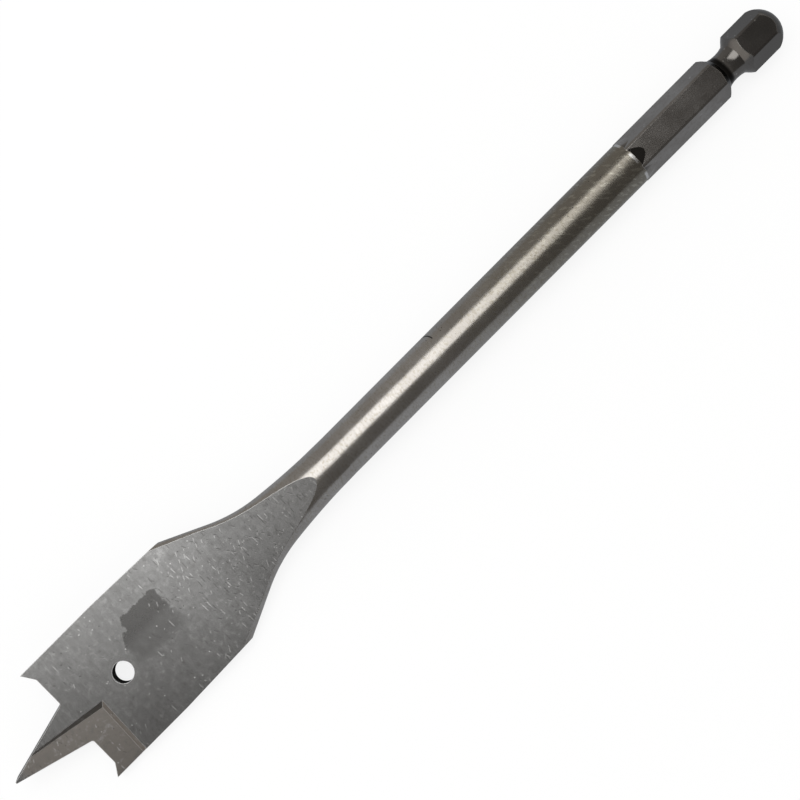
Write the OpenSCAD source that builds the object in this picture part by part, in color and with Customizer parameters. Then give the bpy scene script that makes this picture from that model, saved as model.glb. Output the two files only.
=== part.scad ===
// Spade bit for boring wood: one forged bar with a flat blade, a round shank and a hex end
// Millimetres, Z up; the bit lies as it comes to rest, on its shank and one edge of its blade

/* [Overall] */
// Length from the point to the end of the hex
overall_len = 153; // [135:0.5:180]
// Diameter of the round shank
shank_d = 7; // [6:0.1:8]

/* [Blade] */
// Cutting width across the two spurs
blade_w = 20; // [16:0.5:32]
// Thickness between the two ground faces
blade_t = 1.9; // [1.5:0.1:2.6]
// Length from the lips to the corners of the shoulders
blade_len = 26.4; // [20:0.2:36]
// Length at full width behind the lips, before the sides taper
land_len = 13.2; // [8:0.2:18]
// Width lost to the taper at the shoulders, both sides together
side_taper = 0.8; // [0.2:0.1:1.6]
// Diameter of the hole through the blade
hole_d = 3.2; // [2:0.1:5]
// Distance from the lips back to the middle of the hole
hole_back = 10.1; // [8:0.1:14]

/* [Point and spurs] */
// Length of the point ahead of the lips
point_len = 11.8; // [9:0.1:16]
// Width of the point at its root
point_w = 7.2; // [6:0.1:9]
// Amount by which the root of the point was ground off the axis
point_off = 0.25; // [0:0.05:0.4]
// Width of the flat worn on the tip
point_flat = 0.25; // [0.1:0.05:0.5]
// Height of a spur ahead of its lip
spur_h = 1.1; // [0.6:0.1:1.8]
// Width of a spur where it leaves the lip
spur_w = 1.7; // [1.2:0.1:2.6]
// Fillet between the point and a lip
root_r = 0.45; // [0.2:0.05:0.8]
// Fillet between a lip and its spur
spur_r = 0.7; // [0.3:0.05:1]
// Relief angle behind the lips
lip_relief = 16; // [6:1:20]
// Relief angle behind the edges of the point
point_relief = 9; // [4:1:12]

/* [Rake pockets] */
// Hook angle of a pocket's floor against the blade face
rake_hook = 1.9; // [1:0.1:2.4]
// Distance from a lip back to the end of its pocket's floor
rake_len = 4.4; // [3:0.1:5.5]
// Distance from the axis to the inner edge of the floor, in line with the lips
rake_web = 0.6; // [0.3:0.05:1.2]
// Angle of the inner wall to the axis
rake_turn = 10.5; // [8:0.5:13]
// Angle of the end wall to a line square across the blade
rake_skew = 1.9; // [0:0.1:4]
// Lean of both walls away from upright
rake_lean = 55; // [35:1:62]

/* [Shoulders and neck] */
// Angle of the shoulders to the axis
shoulder_angle = 25.2; // [20:0.2:32]
// Radius that turns a shoulder into the neck
shoulder_r = 24; // [16:1:30]
// Angle of the neck where that radius ends
neck_angle = 6.5; // [4:0.1:8]
// Radius that brings the neck down to the shank
neck_r = 117; // [90:1:140]
// Height of the forged oval along the shoulders
oval_h = 5; // [4.2:0.1:6]
// Length over which a ground face rises to the top of the shank
rise_len = 18.2; // [15:0.1:20]
// Slope at which that rise begins
rise_angle = 2.5; // [1:0.1:4]
// Distance from the end of the rise to the end of the neck
rise_gap = 4.4; // [3.4:0.1:6]

/* [Hex end] */
// Width across the flats
hex_af = 6.35; // [5.8:0.05:6.6]
// Diameter over the rounded corners
hex_ac = 7.12; // [7.02:0.02:7.3]
// Length of the hex
hex_len = 28.7; // [24:0.2:40]
// Angle of the cone between the shank and the flats
cone_angle = 10.8; // [8:0.2:20]
// Diameter at the bottom of the ball groove
groove_d = 4.6; // [4:0.1:5.2]
// Width of the ball groove along its bottom
groove_w = 3.1; // [2:0.1:4]
// Radius of the groove's shallow bottom
groove_r = 5.4; // [3:0.1:8]
// Mean angle of the groove's flared sides to the axis
groove_flare = 45; // [35:1:60]
// Radius of the flared sides
flare_r = 5; // [3:0.1:5.4]
// Distance from the middle of the groove to the end
groove_back = 9.4; // [8:0.1:12]
// Radius of the rounded end
end_r = 3.8; // [3.7:0.05:5]
// Diameter of the small flat left on the end
end_flat_d = 3.6; // [2:0.1:4.4]

/* [Hidden] */
$fn = 96;
// Extra size of a cutter or blank past the finished surface
stock = 0.6;
// Size of a block that stands for everything on one side of a plane
reach = 2 * blade_w + blade_len;
// Flats of an arc in a drawn outline
arc_steps = 8;
// Points around the forged oval, and stations along it
oval_points = 64;
oval_stations = 24;
// Amount by which the forged neck sits below the ground shank
neck_step = 0.008;
// Length of the neck buried in the shank, and of the shank before the neck's last oval
neck_bury = 1;
shank_lap = 0.2;
// Length of the shank inside the hex before its cone begins
cone_lead = 0.15;
// Depth of the cone below the flats
cone_sink = 0.3;

shank_r = shank_d / 2;
neck_end_r = shank_r - neck_step;
half_w = blade_w / 2;
half_t = blade_t / 2;
oval_top = oval_h / 2;

// Places along the axis, from the point
lip_x = point_len;
land_x = lip_x + land_len;
corner_x = lip_x + blade_len;
hex_x = overall_len - hex_len;
corner_w = half_w - side_taper / 2;
side_slope = (half_w - corner_w) / (corner_x - land_x);

// The shoulder's outline: a straight slope, then two arcs that meet the shank
arc_w = neck_end_r + neck_r * (1 - cos(neck_angle));
bend_w = arc_w + shoulder_r * (cos(neck_angle) - cos(shoulder_angle));
bend_x = corner_x + (corner_w - bend_w) / tan(shoulder_angle);
arc_x = bend_x + shoulder_r * (sin(shoulder_angle) - sin(neck_angle));
neck_x = arc_x + neck_r * sin(neck_angle);

// The rise of a ground face: an arc through its start and its end on the shank
rise_end = neck_x - rise_gap;
rise_x = rise_end - rise_len;
rise_chord = norm([rise_len, shank_r - half_t]);
rise_r = rise_chord / (2 * sin(atan2(shank_r - half_t, rise_len) - rise_angle));

// Where the oval's side leaves the ground face and meets the ground side of the blade
face_share = sqrt(1 - pow(half_t / oval_top, 2));
edge_fade = corner_w * (1 - face_share) / (face_share * tan(shoulder_angle) - side_slope);
oval_x = corner_x - edge_fade - 2 * stock;

// Half width of the point at its root and at its tip, where the two reliefs cross under the worn flat
root_w = point_w / 2;
point_slope = (root_w - half_t * tan(point_relief)) / (point_len + half_t * tan(lip_relief));
tip_w = root_w - point_slope * point_len + point_flat / 2;

// Roll about the axis that rests the shank and one edge of the blade on the same surface
rest_roll = asin(shank_r / norm([half_w, half_t])) - atan2(half_t, half_w);

function smooth(t) = let (u = min(max(t, 0), 1)) u * u * (3 - 2 * u);

// Half width of the forged outline at a place along the axis
function oval_side(x) =
    x < bend_x ? bend_w + (bend_x - x) * tan(shoulder_angle)
    : x < arc_x ? arc_w + shoulder_r * cos(neck_angle)
        - sqrt(pow(shoulder_r, 2) - pow(shoulder_r * sin(neck_angle) + arc_x - x, 2))
    : x < neck_x ? neck_end_r + neck_r - sqrt(pow(neck_r, 2) - pow(neck_x - x, 2))
    : neck_end_r;

// Half height of the forged oval at a place along the axis
function oval_rise(x) =
    oval_top + (neck_end_r - oval_top) * smooth((x - rise_x) / (neck_x - rise_x));

function oval_ring(x) = [
    for (j = [0:oval_points - 1])
        let (turn = 360 * j / oval_points)
        [x, oval_side(x) * cos(turn), oval_rise(x) * sin(turn)]
];

// Points of an arc of radius r that rounds the corner p between points a and b
function rounded(a, p, b, r) =
    let (
        u = (a - p) / norm(a - p),
        v = (b - p) / norm(b - p),
        half = acos(u * v) / 2,
        centre = p + (u + v) / norm(u + v) * r / sin(half),
        from = p + u * r / tan(half) - centre,
        sweep = 180 - 2 * half,
        way = cross(u, v) > 0 ? -1 : 1,
        start = atan2(from.y, from.x)
    )
    [for (i = [0:arc_steps])
        let (turn = start + way * sweep * i / arc_steps)
        centre + r * [cos(turn), sin(turn)]];

// A copy turned half round the axis, for the other face of the blade
module both_faces() {
    children();
    rotate([180, 0, 0]) children();
}

// A solid turned about the axis, from a profile drawn as radius against length
module turned() {
    rotate([0, 90, 0]) rotate_extrude() children();
}

// Forged shoulders and neck, lofted from wide ovals to the round of the shank
module forged_neck() {
    first = min(rise_x, bend_x);
    last = neck_x + neck_bury;
    places = concat([oval_x],
        [for (i = [0:oval_stations]) first + (rise_end - first) * i / oval_stations],
        [neck_x, last]);
    rings = len(places);
    points = [for (x = places) each oval_ring(x)];
    ends = [
        [for (j = [0:oval_points - 1]) j],
        [for (j = [oval_points - 1:-1:0]) (rings - 1) * oval_points + j]
    ];
    sides = [
        for (i = [0:rings - 2], j = [0:oval_points - 1])
            let (
                k = (j + 1) % oval_points,
                a = i * oval_points,
                b = a + oval_points
            )
            each [[a + j, b + k, a + k], [a + j, b + j, b + k]]
    ];
    polyhedron(points, concat(ends, sides));
}

// Flat stock of the blade, thicker and wider than the ground size, from the worn tip on
module blade_stock() {
    translate([0, -half_w - stock, -half_t - stock])
        cube([oval_x + stock, blade_w + 2 * stock, blade_t + 2 * stock]);
}

// Round shank with a shallow cone that runs out on the flats of the hex
module shank() {
    drop = shank_r - hex_af / 2 + cone_sink;
    cone_x = hex_x + cone_lead;
    turned() polygon([
        [0, neck_x - shank_lap],
        [shank_r, neck_x - shank_lap],
        [shank_r, cone_x],
        [shank_r - drop, cone_x + drop / tan(cone_angle)],
        [0, cone_x + drop / tan(cone_angle)]
    ]);
}

// Profile of the ball groove: a shallow arc between two flared sides, each an arc
module groove_profile() {
    half = groove_w / 2;
    foot = [groove_d / 2 + groove_r - sqrt(pow(groove_r, 2) - pow(half, 2)), half];
    rise = hex_ac / 2 - foot.x;
    rim = foot + rise * [1, 1 / tan(groove_flare)];
    inset = sqrt(pow(flare_r, 2) - pow(norm(rim - foot) / 2, 2));
    centre = (foot + rim) / 2 + inset * [cos(groove_flare), -sin(groove_flare)];
    intersection() {
        translate([groove_d / 2 + groove_r, 0]) circle(groove_r);
        translate(centre) circle(flare_r);
        translate([centre.x, -centre.y]) circle(flare_r);
    }
}

// Turned envelope of the hex: rounded corners, ball groove and rounded end
module hex_envelope() {
    end_x = overall_len - sqrt(pow(end_r, 2) - pow(end_flat_d / 2, 2));
    turned() difference() {
        intersection() {
            translate([0, hex_x]) square([hex_ac / 2, hex_len]);
            union() {
                translate([0, hex_x]) square([hex_ac, end_x - hex_x]);
                translate([0, end_x]) circle(end_r);
            }
        }
        translate([0, overall_len - groove_back]) groove_profile();
    }
}

module hex_end() {
    intersection() {
        hex_envelope();
        translate([hex_x - stock, 0, 0]) rotate([0, 90, 0]) rotate(30)
            cylinder(r = hex_af / sqrt(3), h = hex_len + 2 * stock, $fn = 6);
    }
}

// Metal above one face: flat over the blade, then curving up to the top of the shank
module face_grind() {
    top = shank_r + stock;
    run = 2 * rise_len;
    rotate([90, 0, 0]) linear_extrude(2 * reach, center = true) {
        translate([-2 * stock, half_t]) square([rise_x + 2 * stock, top]);
        intersection() {
            translate([rise_x, half_t]) square([run, top]);
            translate([rise_x, half_t] + rise_r * [-sin(rise_angle), cos(rise_angle)])
                circle(rise_r, $fn = 360);
        }
    }
}

// Metal outside one side: straight along the land, then tapering
module side_grind() {
    far_x = corner_x + 2;
    far_w = half_w - (far_x - land_x) * side_slope;
    linear_extrude(2 * oval_h, center = true) polygon([
        [-2 * stock, -half_w],
        [land_x, -half_w],
        [far_x, -far_w],
        [far_x, -half_w - 2 * stock],
        [-2 * stock, -half_w - 2 * stock]
    ]);
}

// Opening between the point and one spur, tilted so that each edge has its relief
module notch(off) {
    root = [lip_x, -root_w - off];
    tip = root + (1 + 4 * stock / lip_x) * ([0, -tip_w - off / 2] - root);
    inner = [lip_x, spur_w - half_w];
    outer = inner - 2 * [spur_h, spur_w];
    outline = concat(
        [tip],
        rounded(tip, root, inner, root_r),
        rounded(root, inner, outer, spur_r),
        [outer, [-4 * stock, outer.y]]
    );
    // The outline as the tilted cutter needs it to cross the blade face where it is drawn
    drawn = [for (p = outline)
        let (q = p - root)
        [q.x * cos(lip_relief), q.y * cos(point_relief) - q.x * sin(point_relief) * sin(lip_relief)]];
    translate([root.x, root.y, half_t]) rotate([point_relief, -lip_relief, 0])
        linear_extrude(6 * blade_t, center = true) polygon(drawn);
}

// Hooked recess in front of one lip and one edge of the point
module rake_pocket() {
    translate([0, 0, half_t]) rotate([0, rake_hook, 0]) intersection() {
        translate([-reach / 2, -reach / 2, 0]) cube(reach);
        translate([lip_x, -rake_web, 0]) rotate([0, 0, -rake_turn]) rotate([-rake_lean, 0, 0])
            translate([-reach / 2, -reach, -reach / 2]) cube(reach);
        translate([lip_x + rake_len, 0, 0]) rotate([0, 0, -rake_skew]) rotate([0, rake_lean, 0])
            translate([-reach, -reach / 2, -reach / 2]) cube(reach);
    }
}

module forging() {
    blade_stock();
    forged_neck();
    shank();
    hex_end();
}

module spade_bit() {
    color("#8e8f8f") translate([-overall_len / 2, 0, shank_r]) rotate([rest_roll, 0, 0])
        difference() {
            forging();
            both_faces() {
                face_grind();
                side_grind();
                rake_pocket();
            }
            notch(point_off);
            rotate([180, 0, 0]) notch(-point_off);
            translate([lip_x + hole_back, 0, 0]) cylinder(d = hole_d, h = 4 * blade_t, center = true);
        }
}

spade_bit();
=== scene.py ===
"""Looks, light and camera for the spade bit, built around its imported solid. Metres, in the same frame."""

import math

import bpy
from mathutils import Matrix, Vector


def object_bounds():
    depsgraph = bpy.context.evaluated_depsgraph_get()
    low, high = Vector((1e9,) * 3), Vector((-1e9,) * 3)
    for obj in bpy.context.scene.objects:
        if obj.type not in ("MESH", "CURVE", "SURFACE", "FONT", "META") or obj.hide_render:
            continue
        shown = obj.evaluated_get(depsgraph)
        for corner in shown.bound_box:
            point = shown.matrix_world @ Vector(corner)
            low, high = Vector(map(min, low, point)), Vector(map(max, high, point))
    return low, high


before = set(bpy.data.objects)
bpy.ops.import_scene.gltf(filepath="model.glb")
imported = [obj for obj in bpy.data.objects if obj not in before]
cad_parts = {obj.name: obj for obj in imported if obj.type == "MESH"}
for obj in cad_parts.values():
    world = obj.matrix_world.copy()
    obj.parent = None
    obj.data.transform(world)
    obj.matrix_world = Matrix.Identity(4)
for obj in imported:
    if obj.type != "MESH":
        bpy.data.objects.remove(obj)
cad_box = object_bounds()

MM = 0.001
SPAN = [round((high - low) / MM, 2) for low, high in zip(*cad_box)]
LENGTH, SHANK_R = SPAN[0], SPAN[2] / 2
HALF_W, HALF_T = 10.0, 0.95
# Roll about the axis that lays the shank and one edge of the blade on the floor
ROLL = math.atan2(HALF_T, HALF_W) - math.asin(SHANK_R / math.hypot(HALF_W, HALF_T))
COS, SIN = math.cos(ROLL), math.sin(ROLL)

# Places along the bit, in millimetres from its point
LIP_X = 11.8
SHOULDER_X = 36.0
NOSE_X = 63.0
HEX_X = 124.3
GROOVE_X = 143.6
# Where the ground face begins to turn up towards the neck, and by how much for each millimetre
EASE_X, EASE_RATE = 38.5, 0.00965
HOLE_X, HOLE_R = 21.9, 1.6
# Stretches along the bit over which its look changes: scratched, brighter, browner and darker from there on
SCORED_X = (28.0, 42.0)
BRIGHT_X = (43.0, 57.0)
BROWN_X = (74.0, 118.0)
DARK_X = (134.0, 149.0)
# Height above the bit's middle over which the ground face of the blade begins
FACE_Z = (0.9, 0.94)
# How far the edge tint (wear with a painted highlight, or dirt on the hex) and the rounding reach from an
# edge, and the depth of the grain
EDGE_TINT_R, ROUND_R, GRAIN_DEPTH = 0.16, 0.12, 0.02
# Marks: the patches of the stain (middle, half size, corner radius), a pale rub and a hair-like nick
STAIN = (((29.8, 3.8), (3.4, 1.9), 0.9), ((29.0, 1.2), (4.3, 2.6), 1.6))
RUB_X, RUB_Y, RUB_SQUEEZE = 36.6, 8.4, 0.4
NICK_X, NICK_Y, NICK_R = 85.2, 2.3, 1.2

# Edges steeper than these stay sharp: on the blade with its forged sides, and from the nose of the blade on
FORGED_X = 53.0
SHARP_FORGED = math.radians(16)
SHARP_TURNED = math.radians(9.3)


def to_row(x, y, z):
    """A place given along, across and above the blade, in millimetres from the point, in the row frame."""
    return Vector((x - LENGTH / 2, y * COS + z * SIN, z * COS - y * SIN + SHANK_R)) * MM


def turn_row(x, y, z):
    """A direction given along, across and out of the blade, in the row frame."""
    return Vector((x, y * COS + z * SIN, z * COS - y * SIN))


class Graph:
    """Makes the nodes of one shader and links them as they are made."""

    def __init__(self, tree):
        self.tree = tree
        tree.nodes.clear()

    def node(self, kind, inputs=None, **settings):
        made = self.tree.nodes.new(kind)
        for key, value in settings.items():
            setattr(made, key, value)
        for key, value in (inputs or {}).items():
            self.put(made.inputs[key], value)
        return made

    def put(self, socket, value):
        if isinstance(value, bpy.types.NodeSocket):
            self.tree.links.new(value, socket)
        else:
            socket.default_value = value

    def calc(self, operation, a, b=0.0):
        return self.node("ShaderNodeMath", {0: a, 1: b}, operation=operation).outputs[0]

    def vmath(self, operation, a, b=(0.0, 0.0, 0.0)):
        """A vector operation, giving its number where it has one and its vector otherwise."""
        made = self.node("ShaderNodeVectorMath", {0: a, 1: b}, operation=operation)
        return made.outputs["Value" if operation in ("DOT_PRODUCT", "DISTANCE", "LENGTH") else "Vector"]

    def mix_vector(self, factor, a, b):
        return self.node("ShaderNodeMix", {0: factor, 4: a, 5: b}, data_type="VECTOR").outputs[1]

    def total(self, first, *others):
        for other in others:
            first = self.calc("ADD", first, other)
        return first

    def product(self, first, *others):
        for other in others:
            first = self.calc("MULTIPLY", first, other)
        return first

    def step(self, value, low, high, to_low=0.0, to_high=1.0):
        """A smooth step from to_low to to_high as value goes from low to high."""
        inputs = {"Value": value, "From Min": low, "From Max": high, "To Min": to_low, "To Max": to_high}
        return self.node("ShaderNodeMapRange", inputs, interpolation_type="SMOOTHSTEP").outputs["Result"]

    def band(self, value, low, high, soft):
        """One between low and high, and zero outside, with soft ends."""
        rise = self.step(value, low - soft, low + soft)
        return self.product(rise, self.step(value, high - soft, high + soft, 1.0, 0.0))

    def vector(self, x, y, z):
        return self.node("ShaderNodeCombineXYZ", {0: x, 1: y, 2: z}).outputs[0]

    def noise(self, vector, scale=1.0, detail=2.0, rough=0.5):
        inputs = {"Vector": vector, "Scale": scale, "Detail": detail, "Roughness": rough}
        return self.node("ShaderNodeTexNoise", inputs, noise_dimensions="3D").outputs["Fac"]

    def cells(self, vector, scale=1.0):
        inputs = {"Vector": vector, "Scale": scale, "Randomness": 1.0}
        return self.node("ShaderNodeTexVoronoi", inputs, feature="F1").outputs

    def tint(self, factor, a, b):
        """Colour a, turning to colour b as factor goes from zero to one."""
        made = self.node("ShaderNodeMix", data_type="RGBA", clamp_factor=True)
        for key, value in (("Factor_Float", factor), ("A_Color", a), ("B_Color", b)):
            socket = next(s for s in made.inputs if s.identifier == key)
            self.put(socket, value)
        return next(s for s in made.outputs if s.identifier == "Result_Color")


def grey(level, warm=0.0):
    """A grey, a little warmer than neutral by warm."""
    return (level * (1 + warm), level, level * (1 - warm), 1.0)


class Steel(Graph):
    """A steel surface, with the bit's own coordinates in millimetres."""

    def __init__(self, name):
        self.material = bpy.data.materials.new(name)
        self.material.use_nodes = True
        super().__init__(self.material.node_tree)
        place = self.node("ShaderNodeTexCoord").outputs["Object"]
        self.own = self.node("ShaderNodeMapping", {
            "Vector": place,
            "Scale": (1 / MM, 1 / MM, 1 / MM),
            "Rotation": (ROLL, 0.0, 0.0),
            "Location": (LENGTH / 2, SHANK_R * SIN, -SHANK_R * COS),
        }, vector_type="POINT").outputs[0]
        self.x, self.y, self.z = self.node("ShaderNodeSeparateXYZ", {0: self.own}).outputs
        edge = self.node("ShaderNodeBevel", {"Radius": EDGE_TINT_R * MM}, samples=6).outputs[0]
        self.flat = self.node("ShaderNodeNewGeometry").outputs["Normal"]
        likeness = self.vmath("DOT_PRODUCT", edge, self.flat)
        # One on the very edges, falling to zero a tenth of a millimetre away
        self.edge = self.step(likeness, 0.998, 0.93)
        self.round_normal = self.node("ShaderNodeBevel", {"Radius": ROUND_R * MM}, samples=6).outputs[0]

    def ease_rise(self):
        """Lets the ground face turn up towards the neck without a visible line."""
        climb = self.calc("SUBTRACT", self.x, EASE_X)
        slope = self.calc("MAXIMUM", self.product(climb, EASE_RATE), 0.0)
        lean = self.vmath("NORMALIZE", self.vector(self.product(slope, -1.0), SIN, COS))
        there = self.product(self.step(self.z, *FACE_Z), self.step(self.edge, 0.3, 0.0))
        self.round_normal = self.mix_vector(there, self.round_normal, lean)

    def keep_edges(self, where):
        """Tints (wear and painted highlight) and rounds the edges only in the places where the given value
        is one.
        """
        self.edge = self.product(self.edge, where)
        self.round_normal = self.mix_vector(where, self.flat, self.round_normal)

    def distance(self, x, y):
        """How far a place is from a line through the blade, square to its face."""
        return self.vmath("DISTANCE", self.vector(self.x, self.y, 0.0), (x, y, 0.0))

    def lines(self, seed, pitch, length, detail=2.0):
        """Noise drawn out across the bit, in lines about pitch wide and length long."""
        vector = self.vector(
            self.calc("ADD", self.calc("MULTIPLY", self.x, 1 / pitch), seed * 13.7),
            self.calc("MULTIPLY", self.y, 1 / length),
            self.calc("MULTIPLY", self.z, 1 / length),
        )
        return self.noise(vector, 1.0, detail, 0.55)

    def spots(self, seed, size, share):
        """Small scattered spots, one at their middles."""
        moved = self.vmath("ADD", self.own, (seed * 7.3, seed * 3.1, seed))
        far = self.cells(moved, 1 / size)["Distance"]
        return self.step(far, share, 0.4 * share)

    def dashes(self, seed, across, along, share, slant, width=0.12):
        """Short scratches across the bit, leaning by slant, one to a cell in a share of the cells."""
        split = (across, along, along)
        leaning = self.calc("ADD", self.x, self.calc("MULTIPLY", self.y, slant))
        place = self.vector(*(
            self.calc("ADD", self.calc("MULTIPLY", axis, 1 / size), seed * 5.3)
            for axis, size in zip((leaning, self.y, self.z), split)
        ))
        cell = self.cells(place)
        gap = self.vmath("MULTIPLY", self.vmath("SUBTRACT", place, cell["Position"]), split)
        off = self.node("ShaderNodeSeparateXYZ", {0: self.vmath("ABSOLUTE", gap)}).outputs
        chance = self.node("ShaderNodeSeparateColor", {0: cell["Color"]}).outputs
        reach = self.step(chance[1], 0.0, 1.0, 0.08 * along, 0.45 * along)
        thin = self.step(off[0], width, 0.3 * width)
        short = self.step(self.calc("SUBTRACT", off[1], reach), 0.0, -0.25 * along)
        return self.product(thin, short, self.step(self.calc("SUBTRACT", chance[0], share), 0.0, -0.05))

    def finish(self, colour, roughness, height, strength, metal_share=1.0):
        """Ends the shader. Metal share is one on metal, and falls to zero where painted shade darkens it, as
        on the wall of the hole.
        """
        bump = self.node("ShaderNodeBump", {
            "Strength": strength, "Distance": GRAIN_DEPTH * MM,
            "Height": height, "Normal": self.round_normal,
        })
        inputs = {"Base Color": colour, "Roughness": roughness, "Metallic": metal_share, "Normal": bump.outputs[0]}
        if isinstance(metal_share, bpy.types.NodeSocket):
            inputs["Specular IOR Level"] = self.product(metal_share, 0.5)
        shader = self.node("ShaderNodeBsdfPrincipled", inputs)
        self.node("ShaderNodeOutputMaterial", {"Surface": shader.outputs[0]})
        return self.material


def blotch(g):
    """Where a dark stain lies on the front of the blade: an upper and a lower patch, run together."""
    wobble = g.calc("MULTIPLY", g.calc("SUBTRACT", g.noise(g.own, 0.9, 4.0, 0.6), 0.5), 1.6)
    inside = None
    for middle, half, r in STAIN:
        apart = g.vmath("ABSOLUTE", g.vmath("SUBTRACT", g.vector(g.x, g.y, 0.0), (*middle, 0.0)))
        past = g.vmath("SUBTRACT", apart, (half[0] - r, half[1] - r, 0.0))
        away = g.vmath("LENGTH", g.vmath("MAXIMUM", past))
        depth = g.calc("SUBTRACT", r, g.calc("ADD", away, wobble))
        inside = depth if inside is None else g.calc("MAXIMUM", inside, depth)
    # Crisp and dark at the top, soft and paler below
    soft = g.step(g.y, 3.4, -2.0, 0.12, 1.3)
    front = g.step(g.z, 0.5, 0.8)
    fade = g.total(g.step(g.y, -3.5, 0.0, 0.0, 0.66), g.step(g.y, 1.4, 3.0, 0.0, 0.34))
    return g.product(g.step(inside, g.calc("MULTIPLY", soft, -1.0), soft), front, fade)


def blade_steel():
    """Steel ground across the blade: short scratches, pits and a stain."""
    g = Steel("ground steel")
    g.ease_rise()
    cloud = g.noise(g.own, 0.16, 3.0)
    patch = g.noise(g.own, 0.4, 2.0)
    mottle = g.noise(g.own, 1.3, 3.0, 0.6)
    fine = g.lines(1, 0.15, 1.4, 3.0)
    coarse = g.lines(2, 0.6, 2.4, 3.0)
    # Scratches lie thickest towards the shoulders
    scored = g.total(g.step(g.x, *SCORED_X, 0.0, 0.28), g.step(patch, 0.4, 0.65, 0.0, 0.16))
    light_line = g.calc("MAXIMUM", g.dashes(3, 0.7, 1.8, scored, 0.03), g.dashes(5, 1.1, 1.0, scored, -0.5))
    dark_line = g.calc("MAXIMUM", g.dashes(4, 0.7, 1.7, scored, -0.05), g.dashes(6, 1.1, 0.9, scored, 0.6))
    # Worn patches about a millimetre across, some lighter and some darker than the rest
    worn = g.noise(g.own, 0.95, 4.0, 0.65)
    light_pit = g.product(g.spots(1, 1.2, 0.13), g.step(g.noise(g.own, 0.6), 0.47, 0.56))
    dark_pit = g.product(g.spots(2, 1.1, 0.13), g.step(g.noise(g.own, 0.5), 0.47, 0.56))
    tone = g.tint(g.step(cloud, 0.3, 0.7), grey(0.253), grey(0.297))
    tone = g.tint(g.step(g.x, *BRIGHT_X), tone, grey(0.407))
    tone = g.tint(g.product(g.step(mottle, 0.35, 0.7), 0.42), tone, grey(0.209, 0.01))
    tone = g.tint(g.product(g.step(coarse, 0.42, 0.7), 0.22), tone, grey(0.396))
    tone = g.tint(g.product(g.step(fine, 0.4, 0.7), 0.16), tone, grey(0.187, 0.01))
    # The hooked pockets behind the lips are duller, and the wall of the hole is painted near black as shade,
    # with no metal sheen
    deep = g.step(g.calc("ABSOLUTE", g.z), 0.93, 0.86)
    pocket = g.product(g.step(g.x, LIP_X + 6.4, LIP_X + 6.0), deep)
    tone = g.tint(g.product(pocket, 0.8), tone, grey(0.209, 0.1))
    tone = g.tint(g.product(g.step(worn, 0.52, 0.72), 0.5), tone, grey(0.418))
    tone = g.tint(g.product(g.step(worn, 0.46, 0.28), 0.5), tone, grey(0.165, 0.02))
    # Painted shade: the wall of the hole, coloured near black and not metal
    hole_shade = g.step(g.distance(HOLE_X, 0.0), HOLE_R + 0.08, HOLE_R + 0.02)
    tone = g.tint(hole_shade, tone, grey(0.02, 0.05))
    stain = blotch(g)
    tone = g.tint(g.product(stain, 0.9), tone, grey(0.121, 0.015))
    # A paler rub by the upper edge
    squeezed = g.vector(g.product(g.x, RUB_SQUEEZE), g.y, 0.0)
    from_rub = g.vmath("DISTANCE", squeezed, (RUB_SQUEEZE * RUB_X, RUB_Y, 0.0))
    rub = g.product(g.step(from_rub, 1.5, 0.2), g.step(mottle, 0.42, 0.62), g.step(g.z, *FACE_Z))
    tone = g.tint(g.product(rub, 0.5), tone, grey(0.528))
    tone = g.tint(g.product(light_line, 0.4), tone, grey(0.704))
    tone = g.tint(g.product(dark_line, 0.45), tone, grey(0.11, 0.02))
    tone = g.tint(g.product(light_pit, 0.5), tone, grey(0.77))
    tone = g.tint(g.product(dark_pit, 0.6), tone, grey(0.077, 0.02))
    # Lighter edges: partly worn bright, partly a painted highlight along them
    tone = g.tint(g.product(g.edge, 0.75), tone, grey(0.92))
    rough = g.total(g.product(mottle, 0.04), g.product(stain, 0.03), g.product(pocket, 0.08), 0.22)
    height = g.total(
        g.product(fine, 0.3), g.product(coarse, 0.4), g.product(mottle, 0.3), g.product(light_line, 0.5),
        g.product(dark_line, -0.7), g.product(light_pit, 0.6), g.product(dark_pit, -0.9),
    )
    return g.finish(tone, rough, height, 0.3, g.calc("SUBTRACT", 1.0, hole_shade))


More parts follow.
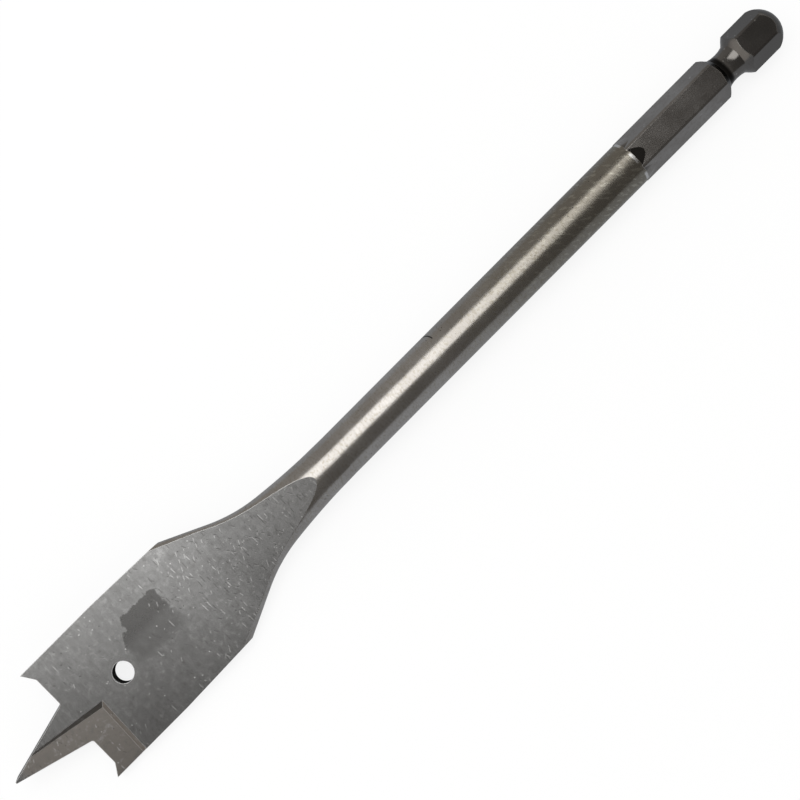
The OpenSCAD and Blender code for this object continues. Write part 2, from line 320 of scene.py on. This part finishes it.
def shank_steel():
    """Turned and forged steel, slightly browned, with a fine grain around it."""
    g = Steel("turned steel")
    # The neck runs into the bar without an edge
    g.keep_edges(g.calc("SUBTRACT", 1.0, g.band(g.x, NOSE_X + 1.0, HEX_X - 1.5, 0.3)))
    cloud = g.noise(g.own, 0.22, 3.0)
    grain = g.lines(5, 0.16, 1.3)
    fleck = g.noise(g.vector(g.product(g.x, 3.2), g.product(g.y, 2.2), g.product(g.z, 2.2)), 1.0, 3.0, 0.6)
    near_hex = g.step(g.x, *BROWN_X)
    tone = g.tint(g.step(cloud, 0.3, 0.7), grey(0.517, 0.05), grey(0.605, 0.04))
    tone = g.tint(g.product(g.step(grain, 0.35, 0.75), 0.35), tone, grey(0.418, 0.06))
    speckle = g.product(g.step(fleck, 0.48, 0.66), g.step(near_hex, 0.0, 1.0, 0.35, 0.8))
    tone = g.tint(speckle, tone, (0.385, 0.341, 0.253, 1.0))
    # Rubbed flecks, slanting across the bar and thickest near the hex
    slant = g.calc("ADD", g.x, g.y)
    rubbed = g.vector(g.product(slant, 1.7), g.product(g.y, 1.1), g.product(g.z, 1.1))
    rubbed = g.noise(rubbed, 1.0, 3.0, 0.6)
    rubbed = g.product(g.step(rubbed, 0.52, 0.66), near_hex)
    tone = g.tint(g.product(near_hex, 0.85), tone, (0.28, 0.258, 0.215, 1.0))
    tone = g.tint(g.product(rubbed, 0.45), tone, (0.66, 0.638, 0.55, 1.0))
    # A painted highlight: a bright rim where the bar ends, in the middle of each flat of the hex
    around = g.calc("ARCTAN2", g.z, g.y)
    middle = g.step(g.calc("COSINE", g.product(around, 6.0)), 0.3, -0.5)
    rim_highlight = g.product(g.band(g.x, HEX_X - 0.32, HEX_X + 0.1, 0.08), middle)
    tone = g.tint(g.product(rim_highlight, 0.85), tone, grey(0.92))
    dark_pit = g.product(g.spots(3, 0.7, 0.16), g.step(g.noise(g.own, 0.5), 0.52, 0.62))
    tone = g.tint(dark_pit, tone, grey(0.11, 0.05))
    # A short hair-like nick on the upper side
    nick = g.product(
        g.band(g.distance(NICK_X, NICK_Y), NICK_R - 0.1, NICK_R + 0.1, 0.05),
        g.step(g.x, NICK_X, NICK_X + 0.3), g.step(g.y, NICK_Y - 0.2, NICK_Y + 0.1), g.step(g.z, 0.3, 0.8),
    )
    tone = g.tint(nick, tone, grey(0.066))
    # Lighter edges: partly worn bright, partly a painted highlight along them
    tone = g.tint(g.product(g.edge, 0.4), tone, grey(0.92))
    rough = g.total(g.step(cloud, 0.3, 0.7, 0.19, 0.23), g.product(speckle, 0.08), g.product(grain, 0.04))
    height = g.total(
        g.product(grain, 0.6), g.product(fleck, 0.5), g.product(dark_pit, -0.8), g.product(nick, -1.0),
    )
    return g.finish(tone, rough, height, 0.3)


def hex_steel():
    """Dull brownish steel of the hex end, with dirty edges."""
    g = Steel("hex steel")
    cloud = g.noise(g.own, 0.35, 3.0)
    mottle = g.noise(g.own, 1.6, 3.0, 0.6)
    grain = g.lines(6, 0.2, 1.5)
    tone = g.tint(g.step(cloud, 0.3, 0.7), grey(0.341, 0.05), grey(0.396, 0.04))
    tone = g.tint(g.product(g.step(mottle, 0.45, 0.7), 0.4), tone, grey(0.242, 0.1))
    # Darker at the far end, and with painted shade on the cone, on the rounded end and in the near half of
    # the groove, on the faces that turn away from the tip
    tone = g.tint(g.step(g.x, *DARK_X, 0.0, 0.9), tone, grey(0.154, 0.05))
    facing = g.node("ShaderNodeSeparateXYZ", {0: g.flat}).outputs[0]
    level = g.calc("ABSOLUTE", g.vmath("DOT_PRODUCT", g.flat, tuple(turn_row(0, 0, 1))))
    on_cone = g.product(g.step(level, 0.6, 0.85), g.step(g.x, GROOVE_X - 8.0, GROOVE_X - 9.0))
    in_groove = g.product(g.step(level, 0.1, 0.5), g.band(g.x, GROOVE_X - 4.0, GROOVE_X + 2.5, 0.5))
    away = g.step(facing, 0.08, 0.17)
    # Painted shade on the cone's faces that turn away from the tip
    tone = g.tint(g.product(on_cone, away), tone, grey(0.04, 0.06))
    # Painted shade on the rounded end's faces that turn away from the tip
    end_shade = g.product(g.step(facing, 0.15, 0.4), g.step(g.x, LENGTH - 5.0, LENGTH - 4.0))
    tone = g.tint(g.product(end_shade, 0.6), tone, grey(0.09, 0.05))
    # Painted shade on the near wall of the groove
    tone = g.tint(g.product(in_groove, away), tone, grey(0.012, 0.06))
    scuff = g.product(g.spots(4, 0.9, 0.22), g.step(g.noise(g.own, 0.5), 0.5, 0.6))
    tone = g.tint(g.product(scuff, 0.5), tone, grey(0.66, 0.03))
    tone = g.tint(g.product(g.edge, 0.35), tone, grey(0.132, 0.05))
    rough = g.total(
        g.step(cloud, 0.3, 0.7, 0.15, 0.18), g.product(mottle, 0.03), g.product(in_groove, 0.015),
    )
    height = g.total(g.product(mottle, 0.4), g.product(grain, 0.2), g.product(scuff, 0.4))
    return g.finish(tone, rough, height, 0.2)


def smooth_group():
    """Smooth shading that stays sharp over the real edges."""
    group = bpy.data.node_groups.new("smooth by angle", "GeometryNodeTree")
    group.interface.new_socket("Geometry", in_out="INPUT", socket_type="NodeSocketGeometry")
    group.interface.new_socket("Geometry", in_out="OUTPUT", socket_type="NodeSocketGeometry")
    nodes, links = group.nodes, group.links
    source = nodes.new("NodeGroupInput")
    target = nodes.new("NodeGroupOutput")
    angle = nodes.new("GeometryNodeInputMeshEdgeAngle")
    place = nodes.new("GeometryNodeInputPosition")
    split = nodes.new("ShaderNodeSeparateXYZ")
    forged = nodes.new("ShaderNodeMath")
    forged.operation = "LESS_THAN"
    forged.inputs[1].default_value = (FORGED_X - LENGTH / 2) * MM
    limit = nodes.new("ShaderNodeMath")
    limit.operation = "MULTIPLY_ADD"
    limit.inputs[1].default_value = SHARP_FORGED - SHARP_TURNED
    limit.inputs[2].default_value = SHARP_TURNED
    steep = nodes.new("FunctionNodeCompare")
    steep.operation = "GREATER_THAN"
    links.new(place.outputs[0], split.inputs[0])
    links.new(split.outputs[0], forged.inputs[0])
    links.new(forged.outputs[0], limit.inputs[0])
    links.new(limit.outputs[0], steep.inputs[1])
    links.new(angle.outputs["Unsigned Angle"], steep.inputs[0])
    faces = nodes.new("GeometryNodeSetShadeSmooth")
    edges = nodes.new("GeometryNodeSetShadeSmooth")
    faces.domain, edges.domain = "FACE", "EDGE"
    edges.inputs["Shade Smooth"].default_value = False
    links.new(source.outputs[0], faces.inputs["Geometry"])
    links.new(faces.outputs[0], edges.inputs["Geometry"])
    links.new(steep.outputs[0], edges.inputs["Selection"])
    links.new(edges.outputs[0], target.inputs[0])
    return group


def dress(bit):
    """Gives each face of the bit its steel, and shades it smoothly between its real edges."""
    mesh = bit.data
    mesh.materials.clear()
    for material in (blade_steel(), shank_steel(), hex_steel()):
        mesh.materials.append(material)
    out = turn_row(0, 0, 1)
    across = turn_row(0, 1, 0)
    for face in mesh.polygons:
        x = face.center.x / MM + LENGTH / 2
        ground = abs(face.normal.dot(across)) < 0.02 and abs(face.normal.dot(out)) > 0.9
        if x > HEX_X:
            face.material_index = 2
        elif x > NOSE_X or (x > SHOULDER_X and not ground):
            face.material_index = 1
        else:
            face.material_index = 0
    if "custom_normal" in mesh.attributes:
        mesh.attributes.remove(mesh.attributes["custom_normal"])
    weld = bit.modifiers.new("weld", "WELD")
    weld.merge_threshold = 1e-6
    shade = bit.modifiers.new("smooth", "NODES")
    shade.node_group = smooth_group()


def floor(half=3.0):
    """A pale floor that reaches half, in metres, to each side."""
    mesh = bpy.data.meshes.new("floor")
    corners = [(-half, -half, 0), (half, -half, 0), (half, half, 0), (-half, half, 0)]
    mesh.from_pydata(corners, [], [(0, 1, 2, 3)])
    made = bpy.data.objects.new("floor", mesh)
    bpy.context.scene.collection.objects.link(made)
    material = bpy.data.materials.new("pale floor")
    material.use_nodes = True
    g = Graph(material.node_tree)
    paint = g.node("ShaderNodeBsdfDiffuse", {"Color": grey(0.94)}).outputs[0]
    white = g.node("ShaderNodeEmission", {"Color": grey(1.0)}).outputs[0]
    mirrored = g.node("ShaderNodeEmission", {"Color": (0.315, 0.325, 0.34, 1.0)}).outputs[0]
    path = g.node("ShaderNodeLightPath").outputs
    # The camera sees the floor mostly white, with a faint shadow
    seen = g.product(path["Is Camera Ray"], 0.85)
    mixed = g.node("ShaderNodeMixShader", {0: seen, 1: paint, 2: white}).outputs[0]
    mixed = g.node("ShaderNodeMixShader", {0: path["Is Glossy Ray"], 1: mixed, 2: mirrored}).outputs[0]
    g.node("ShaderNodeOutputMaterial", {"Surface": mixed})
    mesh.materials.append(material)


def sky():
    """Even fill light. The camera sees white, and the steel mirrors a dim room."""
    world = bpy.data.worlds.new("studio")
    bpy.context.scene.world = world
    world.use_nodes = True
    g = Graph(world.node_tree)
    path = g.node("ShaderNodeLightPath").outputs
    fill = g.node("ShaderNodeBackground", {"Color": grey(1.0), "Strength": 0.75}).outputs[0]
    # The room is lighter low down on the softbox's side, and beyond both ends of the bit
    way = g.node("ShaderNodeTexCoord").outputs["Generated"]
    across = g.vmath("DOT_PRODUCT", way, tuple(turn_row(0, 1, 0)))
    along = g.node("ShaderNodeSeparateXYZ", {0: way}).outputs[0]
    ends = g.step(g.calc("ABSOLUTE", along), 0.45, 0.85, 0.0, 5.0)
    glow = g.total(g.step(across, 0.5, 0.95, 1.0, 2.6), ends)
    dark = g.node("ShaderNodeBackground", {"Color": (0.108, 0.103, 0.097, 1.0), "Strength": glow}).outputs[0]
    white = g.node("ShaderNodeBackground", {"Color": grey(1.0)}).outputs[0]
    mixed = g.node("ShaderNodeMixShader", {0: path["Is Glossy Ray"], 1: fill, 2: dark}).outputs[0]
    mixed = g.node("ShaderNodeMixShader", {0: path["Is Camera Ray"], 1: mixed, 2: white}).outputs[0]
    g.node("ShaderNodeOutputWorld", {"Surface": mixed})


def softbox(name, corner, size, height, turn, radiance, colour):
    """A lamp facing down in a plane parallel to the blade, turned about one corner, in millimetres."""
    lamp = bpy.data.lights.new(name, "AREA")
    lamp.shape = "RECTANGLE"
    lamp.size, lamp.size_y = size[0] * MM, size[1] * MM
    lamp.energy = radiance * math.pi * lamp.size * lamp.size_y
    lamp.color = colour
    made = bpy.data.objects.new(name, lamp)
    bpy.context.scene.collection.objects.link(made)
    along = Vector((math.cos(turn), math.sin(turn), 0.0))
    across = Vector((-math.sin(turn), math.cos(turn), 0.0))
    middle = to_row(*(Vector((*corner, height)) - along * size[0] / 2 + across * size[1] / 2))
    right, up, back = turn_row(*along), turn_row(*across), turn_row(0, 0, 1)
    made.matrix_world = Matrix((
        (right.x, up.x, back.x, middle.x),
        (right.y, up.y, back.y, middle.y),
        (right.z, up.z, back.z, middle.z),
        (0, 0, 0, 1),
    ))


def camera():
    """Looks at the blade's face from above, with the bit across the picture from corner to corner."""
    lean = math.radians(1.5)
    away = 172.0
    turn = math.radians(45.14)
    pixels_per_mm = 7.0
    picture = 800
    aim = Vector((77.06, -0.57, 0.0))
    back = Vector((0.0, -math.sin(lean), math.cos(lean)))
    along = Vector((1.0, 0.0, 0.0))
    down = Vector((0.0, -math.cos(lean), -math.sin(lean)))
    right = along * math.cos(turn) + down * math.sin(turn)
    up = along * math.sin(turn) - down * math.cos(turn)
    place = to_row(*(aim + back * away))
    axes = [turn_row(*v) for v in (right, up, back)]
    lens = bpy.data.cameras.new("camera")
    lens.sensor_width = 36.0
    lens.lens = pixels_per_mm * away * lens.sensor_width / picture
    lens.clip_start = 0.01
    lens.dof.use_dof = False
    made = bpy.data.objects.new("camera", lens)
    bpy.context.scene.collection.objects.link(made)
    made.matrix_world = Matrix([
        [axes[0][i], axes[1][i], axes[2][i], place[i]] for i in range(3)
    ] + [[0, 0, 0, 1]])
    bpy.context.scene.camera = made


bpy.context.scene.view_settings.view_transform = "Standard"
dress(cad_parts["spade_bit"])
floor()
sky()
softbox(
    "softbox", corner=(190, -95), size=(800, 560), height=600, turn=math.radians(-21),
    radiance=1.54, colour=(1.0, 0.995, 0.98),
)
camera()
